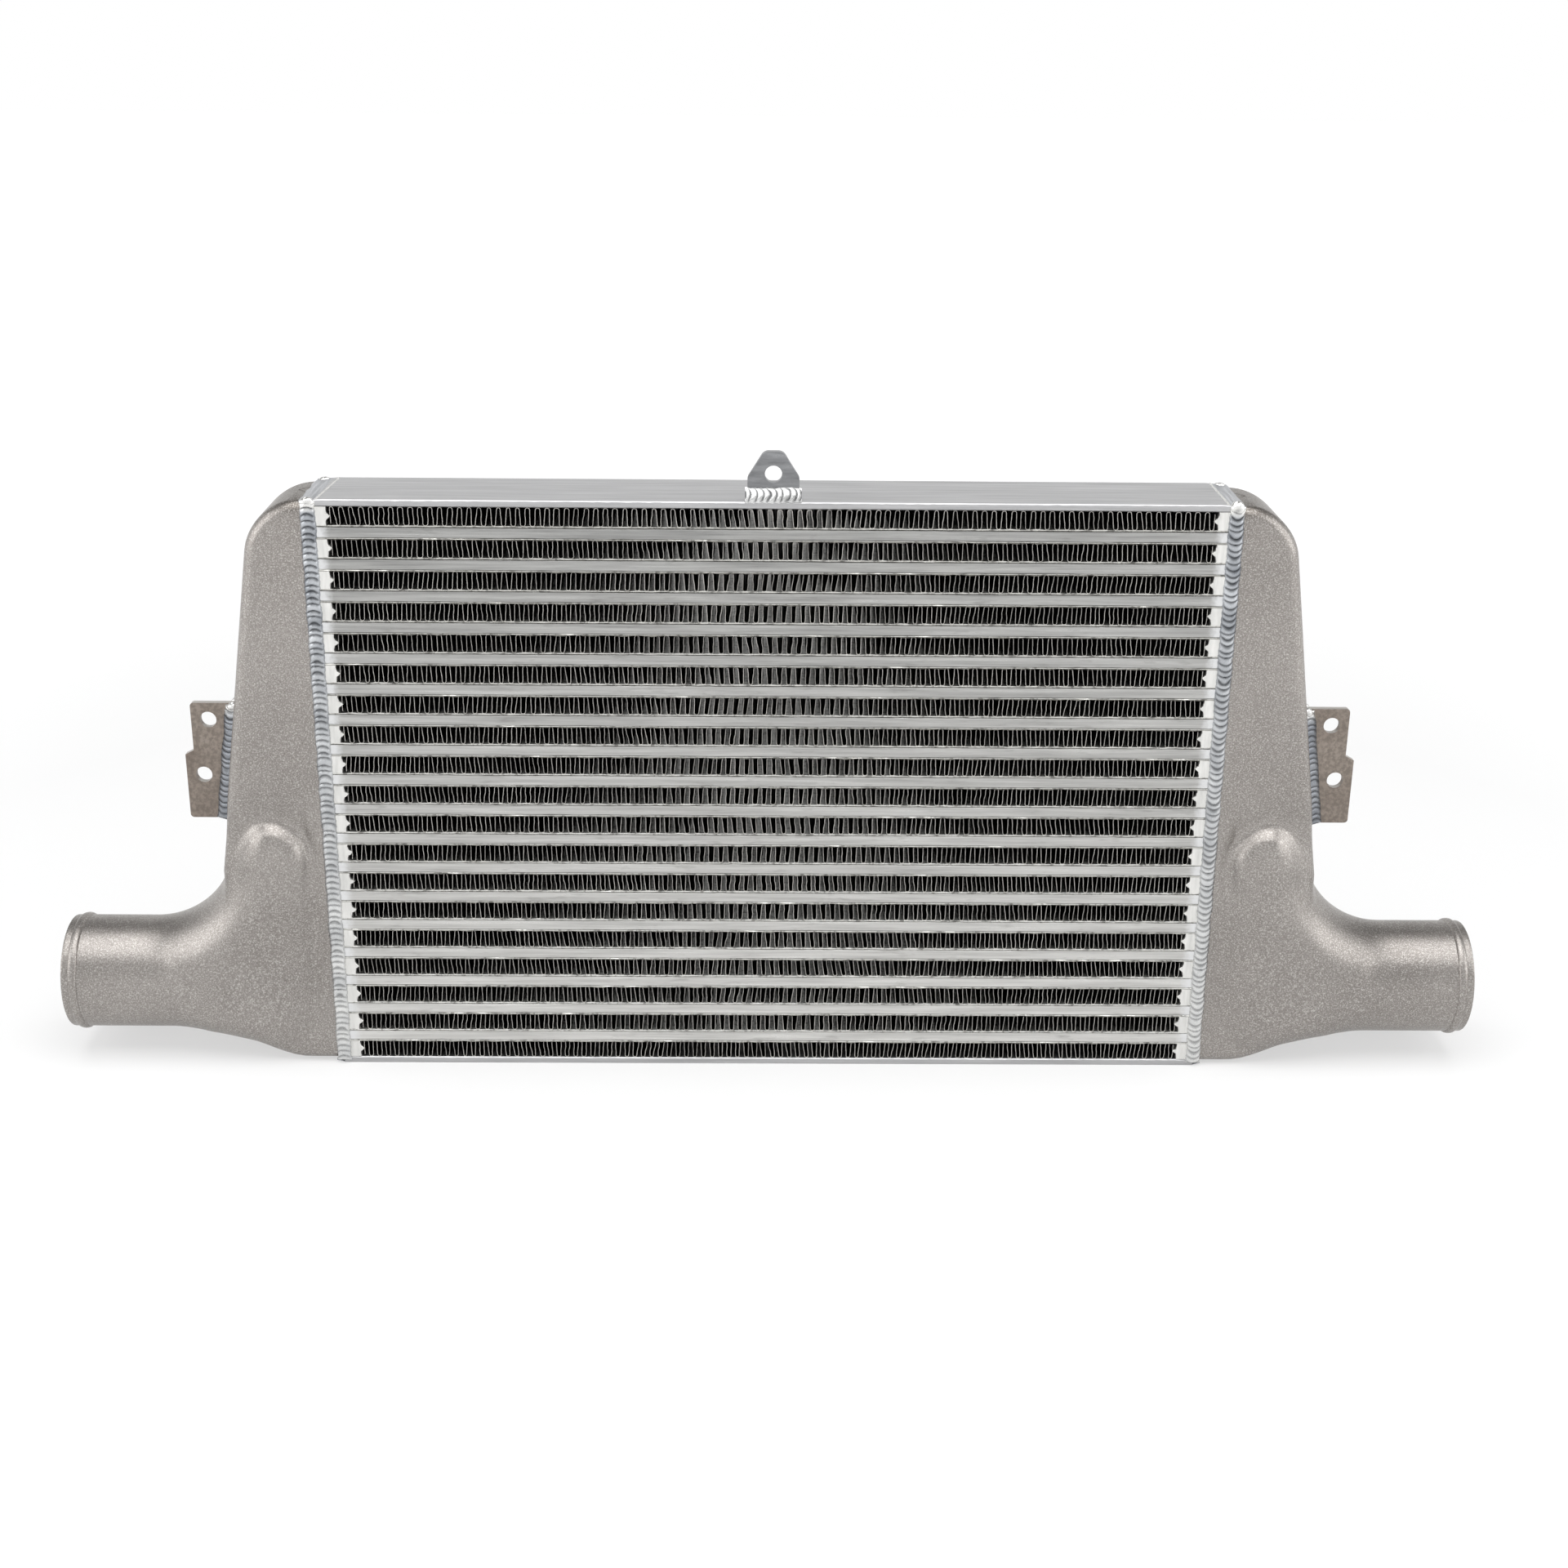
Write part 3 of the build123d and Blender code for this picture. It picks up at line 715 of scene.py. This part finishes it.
# Plates, bars and sheets of the core
def long_piece(section, rag, seed, stations, grain):
    """A closed section of (y, z) points carried along X: each point wanders by its own (y, z) share of a
    smooth noise along the piece, so that its edges look sheared and brazed."""
    x = np.linspace(-CORE_END, CORE_END, stations)
    section, rag = np.asarray(section, float), np.asarray(rag, float)
    wander = np.stack([noise_1d(x, seed + 7 * k, grain, 3) for k in range(len(section))], 1)
    rings = np.empty((stations, len(section), 3))
    rings[..., 0] = x[:, None]
    rings[..., 1] = section[:, 0] + rag[:, 0] * wander
    rings[..., 2] = section[:, 1] + rag[:, 1] * np.roll(wander, 1, axis=0)
    return closed_rings(rings)


def sheet_piece(floor, air_above, seed):
    """One parting sheet: at both faces of the core its edge swells into a rough braze fillet, more on the
    side of the fins than on the side of the bars."""
    top, low = floor + SHEET, floor
    up, down = (0.42, 0.1) if air_above else (0.1, 0.42)
    face, root = CORE_FACE + 0.16, CORE_FACE - 1.0
    front = [(-face, (top + low) / 2 + 0.15 * (up - down)), (-CORE_FACE, top + up * 0.8), (-root, top)]
    under = [(root, low), (CORE_FACE, low - down * 0.8)]
    section = front + [(-y, z) for y, z in front[::-1]] + under + [(-y, z) for y, z in under[::-1]]
    above, below = (0.26, 0.05) if air_above else (0.05, 0.26)
    rag = [(0.13, 0.12), (0.08, above), (0, 0), (0, 0), (0.08, above), (0.13, 0.12), (0, 0), (0.08, below),
           (0.08, below), (0, 0)]
    return long_piece(section, rag, seed, 145, 13.0)


def bar_piece(row, face):
    """One header bar with its front edges rounded; face is -1 in front, 1 behind."""
    low, top = bar_floor(row), bar_floor(row) + BAR_HEIGHT
    skin, back = face * (CORE_FACE - 0.12), face * (CORE_FACE - BAR_DEPTH)
    soft = face * (CORE_FACE - 0.55)
    section = [(back, low), (soft, low), (skin, low + 0.45), (skin, (low + top) / 2), (skin, top - 0.45),
               (soft, top), (back, top)]
    rag = [(0, 0), (0.06, 0), (0.05, 0.12), (0.06, 0.2), (0.05, 0.12), (0.06, 0), (0, 0)]
    return long_piece(section, rag, 2000 + 40 * row + (face > 0) * 900, 81, 24.0)


def plate_piece(low, top, seed):
    """A cover plate with softened long edges and a rough braze line at each face; the top one is ground
    down by a parabola of |x| at its ends."""
    y, soft, middle = CORE_FACE, 0.55, (low + top) / 2
    front = [(-y + soft, low), (-y, low + soft), (-y - 0.08, middle), (-y, top - soft), (-y + soft, top)]
    section = front + [(-across, z) for across, z in front[::-1]]
    rag = [(0, 0), (0.12, 0.1), (0.1, 0.1), (0.16, 0.14), (0.05, 0), (0.05, 0), (0.16, 0.14), (0.1, 0.1),
           (0.12, 0.1), (0, 0)]
    points, blocks = long_piece(section, rag, seed, 181, 9.0)
    if top == CORE_TOP:
        ground = 8.5
        ends = risen(np.abs(points[:, 0]), CORE_END - ground, ground)
        points[:, 2] -= END_DROP * ends * ends * (points[:, 2] > top - 1.0)
    return points, blocks


attach(make_mesh("bottom_cover", *plate_piece(0.0, COVER, 11), PLATE, 20), "plate", "bottom_plate")
attach(make_mesh("top_cover", *plate_piece(CORE_TOP - COVER, CORE_TOP, 12), PLATE, 20), "plate", "top_plate")
sheets = []
for row in range(AIR_ROWS - 1):
    sheets.append(sheet_piece(air_floor(row) + AIR_HEIGHT, False, 5000 + 100 * row))
    sheets.append(sheet_piece(bar_floor(row) + BAR_HEIGHT, True, 5050 + 100 * row))
attach(make_mesh("brazed_sheets", *joined(sheets), BRAZED, 60), "core_bar", "parting_sheets")
for face, name in ((-1, "front_header_bars"), (1, "rear_header_bars")):
    bars = joined([bar_piece(row, face) for row in range(AIR_ROWS - 1)])
    attach(make_mesh(name + "_rolled", *bars, BAR, 20), "core_bar", name)


def end_bar_piece(row, side):
    """One end bar seen from the front and carried through the core: its inner side has a pointed nose in the
    middle and uneven flanks, and its ends are chamfered by a ring drawn in towards the middle."""
    rng = np.random.default_rng(900 + row + 50 * (side > 0))
    z0, nose = air_floor(row), NOSE * rng.uniform(0.85, 1.15)
    share = np.array([1.0, 0.90, 0.76, 0.66, 0.58, 0.50, 0.42, 0.34, 0.24, 0.10, 0.0])
    share[1:-1] += rng.normal(0, 0.01, 9)
    jut = np.array([0.12, 0.0, 0.05, 0.22, 0.72, 1.0, 0.72, 0.22, 0.05, 0.0, 0.12]) * nose
    jut[[1, 2, 8, 9]] += rng.uniform(0.0, 0.3, 4)
    x = np.concatenate([[CORE_END, CORE_END], END_BAR - jut])
    z = np.concatenate([[0.0, 1.0], share]) * AIR_HEIGHT + z0
    middle = np.array(((CORE_END + END_BAR) / 2, z0 + AIR_HEIGHT / 2))
    rings = []
    bevel = CORE_FACE - 0.35
    for y, draw in ((-CORE_FACE, 0.95), (-bevel, 1.0), (bevel, 1.0), (CORE_FACE, 0.95)):
        ring_x = side * (middle[0] + (x - middle[0]) * draw)
        rings.append(np.stack([ring_x, np.full(len(x), y), middle[1] + (z - middle[1]) * draw], -1))
    return closed_rings(np.array(rings))


for side, name in ((-1, "left_end_bars"), (1, "right_end_bars")):
    bars = joined([end_bar_piece(row, side) for row in range(AIR_ROWS)])
    attach(make_mesh(name + "_extruded", *bars, BAND, 30), "core_bar", name)


# Weld beads
def weld_bead(start, end, out, across, width, height, pitch, curve, seed, sink=0.3, ripple_depth=0.6,
              samples=8):
    """A rippled bead laid straight from start to end: points, blocks and how deep each point lies between
    two ripples, which the weld's material darkens as painted shade.

    With s from -1 to 1 across and t along, the arch is 1 less the square of s, to the power 0.6, and lifts
    the bead by its height less what the ripple takes. A ripple is a sine arch over the phase, which is t
    over the pitch plus the curve times the square of s. The ends sink, and a flat underside closes the bead
    below its toes.
    """
    start, end, out, across = (np.asarray(v, float) for v in (start, end, out, across))
    length = np.linalg.norm(end - start)
    t = np.linspace(0, length, int(length / pitch * samples) + 1)
    s = np.linspace(-1, 1, 17)
    uneven = 0.17 * noise_1d(t, seed + 2, 2.4 * pitch, 2)
    phase = (t / pitch + uneven)[:, None] + curve * s**2
    part = phase - np.floor(phase)
    ripple = np.sin(np.pi * np.clip(part, 0, 1) ** 0.7)
    arch = np.clip(1 - s**2, 0, 1) ** 0.6
    ends = np.clip(np.minimum(t, length - t) / 3.0, 0, 1) ** 0.5
    lift = arch * (height - ripple_depth * (1 - ripple)) * (0.4 + 0.6 * ends)[:, None]
    spread = width / 2 * (1 + 0.05 * noise_1d(t, seed, 17.0, 2) + 0.03 * np.sin(2 * np.pi * t / pitch))
    shift = s * spread[:, None] + 0.22 * noise_1d(t, seed + 1, 31.0, 2)[:, None]
    spine = start + (end - start) * (t / length)[:, None]
    top = spine[:, None] + across * shift[..., None] + out * lift[..., None]
    rings = np.concatenate([top[:, :1] - out * sink, top, top[:, -1:] - out * sink], 1)
    # How deep each point lies between two ripples, darkened by the weld's material as painted shade.
    trough_shade = np.zeros(rings.shape[:2])
    trough_shade[:, 1:-1] = np.clip(1 - ripple * 1.25, 0, 1) ** 0.7 * np.clip(arch * 1.5, 0, 1)
    points, blocks = closed_rings(rings)
    return points, blocks, np.append(trough_shade.ravel(), [0, 0])


def weld_drop(centre, radii, seed):
    """A drop of weld at a bead's end: a sphere of the given radii, dented by waves over its angles, with
    the dents darkened as painted shade."""
    rng = np.random.default_rng(seed)
    downward, around = np.linspace(0.12, math.pi - 0.12, 15), np.linspace(0, 2 * np.pi, 25)[:-1]
    u, v = np.meshgrid(downward, around, indexing="ij")
    a, b = rng.uniform(0, 2 * np.pi, 2)
    dent = 0.05 * np.sin(3 * v + a) * np.sin(u) + 0.05 * np.cos(4 * u + 2 * v + b)
    shape = np.stack([np.sin(u) * np.cos(v), np.sin(u) * np.sin(v), np.cos(u)], -1) * (1 + dent)[..., None]
    points, blocks = closed_rings(np.asarray(centre) + shape * np.asarray(radii))
    # The dents' depth, darkened by the weld's material as painted shade.
    return points, blocks, np.append(np.clip(-dent.ravel() * 5, 0, 0.4), [0, 0])


def weld_object(name, parts, smoke, frost, *replaced):
    """Several beads as one object; smoke and frost give from the height how dark and how white it is."""
    points, blocks = joined(parts)
    bead = make_mesh(name, points, blocks, WELD, 60)
    # The troughs' depth, which the weld's material paints as shade.
    point_values(bead, "trough_shade", np.concatenate([part[2] for part in parts]))
    point_values(bead, "smoke", smoke(points[:, 2]))
    point_values(bead, "frost", frost(points[:, 2]))
    return attach(bead, "weld", *replaced)


def ground_seam(side, plate_level, tank_level, up):
    """Weld ground flush over the step between the core's cover and the tank: a thin strip that follows the
    cover as far as the joint and then slopes to the tank, with softly faded long edges."""
    drop = END_DROP if up > 0 else 0.0
    x = np.array([-4.4, -4.1, -1.2, 0.0, 1.4, 4.1, 4.4]) + CORE_END
    proud = np.array([0.0, 0.07, 0.10, 0.08, -0.35, 0.08, 0.0]) * up
    sunk = np.array([0.3, 0.3, 0.8, 1.0, 0.7, 0.0, 0.0]) * drop
    z = np.array([plate_level] * 5 + [tank_level] * 2) + proud - sunk
    y = np.linspace(-CORE_FACE + 0.7, CORE_FACE - 0.7, 25)
    edge = 0.35 * noise_1d(y, 77 + side, 15.0, 2)
    rings = np.empty((len(y), 2 * len(x), 3))
    ring_x = np.concatenate([x, x[::-1]])
    rings[..., 0] = side * (ring_x + edge[:, None] * (np.abs(ring_x - CORE_END) > 3.9))
    rings[..., 1] = y[:, None]
    rings[..., 2] = np.concatenate([z, z[::-1] - 0.5 * up])
    return closed_rings(rings)


def seam_line(side):
    """The bright line where the grinding stopped on the top cover: a low ridge of half a circle's section,
    laid across the cover a little aslant."""
    y = np.linspace(-CORE_FACE + 0.9, CORE_FACE - 0.9, 41)
    turn = np.linspace(0, math.pi, 7)
    aslant = 0.6 if side > 0 else 3.6
    middle = 237.2 - aslant * (y + CORE_FACE) / (2 * CORE_FACE) + 0.2 * noise_1d(y, 31 + side, 9.0, 3)
    width = 0.75 + 0.25 * noise_1d(y, 35 + side, 6.0, 3)
    rings = np.empty((len(y), len(turn), 3))
    rings[..., 0] = side * (middle[:, None] + width[:, None] * np.cos(turn))
    rings[..., 1] = y[:, None]
    rings[..., 2] = CORE_TOP - 0.35 + 0.55 * np.sin(turn)
    return closed_rings(rings)


def tab_bead(y, level, out, across, width, height, seed):
    """One bead along the foot of the top tab."""
    ends = [(x, y, CORE_TOP + level) for x in (-TAB_WELD_HALF, TAB_WELD_HALF)]
    return weld_bead(*ends, out, across, width, height, 3.35, 0.6, seed, 1.9, 0.5, 10)


def near_top(top, below, length, most):
    """Frost over a bead's upper end: 0 up to so far below its top, then rising over the length."""
    return lambda z: np.clip((z - top + below) / length, 0, most)


for side, name in ((1, "right"), (-1, "left")):
    curve = -0.6 if side > 0 else 0.6
    front_drop = (3.9, 3.4, 3.6) if side > 0 else (4.0, 2.7, 2.6)
    beads = []
    for face, drop in ((-1, front_drop), (1, (3.6, 2.2, 1.9))):
        low = (side * CORE_END, face * CORE_FACE, 2.0)
        high = (side * CORE_END, face * CORE_FACE, CORE_TOP - 0.9)
        seed = 40 + side + 3 * face
        beads.append(weld_bead(low, high, (0, face, 0), (1, 0, 0), 8.2, 2.1, 3.45, curve, seed))
        beads.append(weld_drop((side * CORE_END, face * (CORE_FACE - 0.9), CORE_TOP - 1.6), drop, 60 + face))
    weld_object(f"{name}_tank_bead", beads, lambda z: 0 * z, near_top(CORE_TOP, 7.0, 4.0, 0.9),
                f"{name}_tank_weld")
    seams = [ground_seam(side, CORE_TOP, TANK_TOP, 1), ground_seam(side, 0.12, TANK_FLOOR + 0.12, -1)]
    attach(make_mesh(f"{name}_ground_seam", *joined(seams), SEAM, 50), "weld")
    attach(make_mesh(f"{name}_seam_line", *seam_line(side), BAND, 60), "weld")
    beads = []
    on_plate, on_tank = 8.5, 5.5
    breadth = math.hypot(on_plate, on_tank)
    for face in (-1, 1):
        across = np.array((side * on_plate, -face * on_tank, 0)) / breadth
        out = np.array((side * on_tank, face * on_plate, 0)) / breadth
        skin = face * (BRACKET_THICK + on_tank) / 2
        low = (side * (tank_side(BRACKET_BOTTOM) + on_plate / 2), skin, BRACKET_BOTTOM + 0.4)
        high = (side * (tank_side(BRACKET_TOP) + on_plate / 2), skin, BRACKET_TOP - 0.6)
        seed = 80 + side + 3 * face
        beads.append(weld_bead(low, high, out, across, breadth, 1.2, 3.3, curve * face, seed, 2.4, 0.5))
        beads.append(weld_drop((high[0] - side * 1.3, skin, BRACKET_TOP - 1.0), (3.6, 2.8, 2.6), 90 + face))
    weld_object(f"{name}_bracket_bead", beads, lambda z: np.clip((BRACKET_TOP - 3.0 - z) / 6.0, 0, 1),
                near_top(BRACKET_TOP, 6.0, 5.0, 0.8), f"{name}_bracket_weld")

# The tab's front bead is taller than it is deep, its rear one an even fillet
rise, run = 6.6, CORE_FACE - TAB_FRONT
slope = math.hypot(rise, run)
out, across = (0, -rise / slope, run / slope), (0, run / slope, rise / slope)
front = tab_bead(-TAB_FRONT - run / 2, rise / 2, out, across, slope + 0.6, 1.0, 97)
leg, slant = 4.5, math.sqrt(0.5)
rear = tab_bead(TAB_THICK - TAB_FRONT + leg / 2, leg / 2, (0, slant, slant), (0, slant, -slant), 6.4, 0.9, 98)
weld_object("top_tab_bead", [front, rear], lambda z: 0 * z, lambda z: 0 * z + 0.6, "top_tab_weld")


# Cut plates
def cut_plate(node, material, bevel):
    """The plate's own solid, merged, with its edges rounded as cutting and tumbling leave them."""
    crease = math.radians(40)
    mesh = nodes[node].data.copy()
    build = bmesh.new()
    build.from_mesh(mesh)
    bmesh.ops.remove_doubles(build, verts=build.verts, dist=1e-6)
    build.to_mesh(mesh)
    build.free()
    mesh.materials.clear()
    mesh.materials.append(material)
    mesh.shade_smooth()
    mesh.set_sharp_from_angle(angle=crease)
    plate = bpy.data.objects.new(node + "_cut", mesh)
    bpy.context.scene.collection.objects.link(plate)
    edge = plate.modifiers.new("edge", "BEVEL")
    edge.width = bevel / 1000
    edge.segments = 2
    edge.limit_method = "ANGLE"
    edge.angle_limit = crease
    edge.harden_normals = True
    return attach(plate, "bracket_plate", node)


cut_plate("left_bracket", BRACKET, 0.35)
cut_plate("right_bracket", BRACKET, 0.35)
cut_plate("top_tab", TAB, 0.4)
# The turbulator strips take the fin's material, with its painted shade by depth.
for row in range(AIR_ROWS - 1):
    strip = nodes[f"turbulator_{row + 1:02d}"]
    strip.data.materials.clear()
    strip.data.materials.append(FIN)


# Floor, light and camera
def seen_share(graph):
    """1 for rays from the camera and for those that metal reflects, 0 for the rest."""
    path = graph.tree.nodes.new("ShaderNodeLightPath")
    seen = graph.math("MAXIMUM", path.outputs["Is Camera Ray"], path.outputs["Is Glossy Ray"])
    return graph.math("MAXIMUM", seen, path.outputs["Is Transmission Ray"])


def stage_floor():
    """A white floor: seen directly it adds a glow that brings it to white where nothing shades it."""
    size = 8000.0
    corners = np.array([(-size, -size, 0), (size, -size, 0), (size, size, 0), (-size, size, 0)])
    g = Graph("floor")
    g.set(Base_Color=(0.40, 0.40, 0.40, 1), Roughness=0.9, Specular_IOR_Level=0.0)
    away = g.tree.nodes.new("ShaderNodeVectorMath")
    away.operation = "LENGTH"
    g.put(away.inputs[0], g.place)
    glow = g.ramp(g.math("DIVIDE", away.outputs["Value"], 5.0), (0.14, 0.53), (0.45, 1.0))
    g.set(Emission_Color=(1, 1, 1, 1), Emission_Strength=g.math("MULTIPLY", seen_share(g), glow))
    make_mesh("floor", corners, [np.array([[0, 1, 2, 3]])], g.material)


def area(name, place, target, size, power):
    """A lamp of the given size in metres and power in watts, turned from its place to its target."""
    data = bpy.data.lights.new(name, "AREA")
    data.shape = "RECTANGLE"
    data.size, data.size_y = size
    data.energy = power
    lamp = bpy.data.objects.new(name, data)
    lamp.location = place
    lamp.rotation_mode = "QUATERNION"
    lamp.rotation_quaternion = (Vector(target) - Vector(place)).to_track_quat("-Z", "Y")
    bpy.context.scene.collection.objects.link(lamp)


stage_floor()
area("key", (0.0, -0.55, 2.1), (0, -0.5, 0.1), (2.6, 2.0), 50)
area("front", (0.0, -2.3, 1.3), (0, 0, 0.15), (2.2, 1.0), 4)
area("left", (-1.7, -0.5, 0.95), (0, 0, 0.15), (1.5, 1.3), 13)
area("right", (1.7, -0.5, 0.95), (0, 0, 0.15), (1.5, 1.3), 13)
area("rear", (0.0, 1.8, 1.2), (0, 0, 0.15), (2.0, 0.8), 3)

# The studio round the floor: white at the horizon, dim overhead
world = bpy.data.worlds.new("studio")
world.use_nodes = True
tree = world.node_tree
toward = tree.nodes.new("ShaderNodeTexCoord")
parts = tree.nodes.new("ShaderNodeSeparateXYZ")
shade = tree.nodes.new("ShaderNodeValToRGB")
tree.links.new(toward.outputs["Generated"], parts.inputs[0])
tree.links.new(parts.outputs[2], shade.inputs[0])
tree.links.new(shade.outputs[0], tree.nodes["Background"].inputs[0])
stops = shade.color_ramp.elements
stops.new(0.4)
for stop, (at, grey) in zip(stops, ((0.12, 1.0), (0.42, 0.34), (0.75, 0.1))):
    stop.position = at
    stop.color = (grey, grey, grey, 1)
tree.nodes["Background"].inputs[1].default_value = 1.0
bpy.context.scene.world = world
bpy.context.scene.view_settings.view_transform = "Standard"

camera = bpy.data.cameras.new("camera")
camera.lens = 50.436
camera.sensor_width = 36.0
camera.sensor_fit = "HORIZONTAL"
camera.clip_start, camera.clip_end = 0.05, 30.0
camera_object = bpy.data.objects.new("camera", camera)
bpy.context.scene.collection.objects.link(camera_object)
right = Vector((0.99992693, -0.00845049, 0.00864418))
down = Vector((0.00512175, -0.35156261, -0.93615036))
ahead = Vector((0.0109499, 0.93612623, -0.35149364))
place = Vector((-0.006197, -1.143422, 0.590025))
camera_object.matrix_world = Matrix((
    (right.x, -down.x, -ahead.x, place.x),
    (right.y, -down.y, -ahead.y, place.y),
    (right.z, -down.z, -ahead.z, place.z),
    (0, 0, 0, 1),
))
bpy.context.scene.camera = camera_object
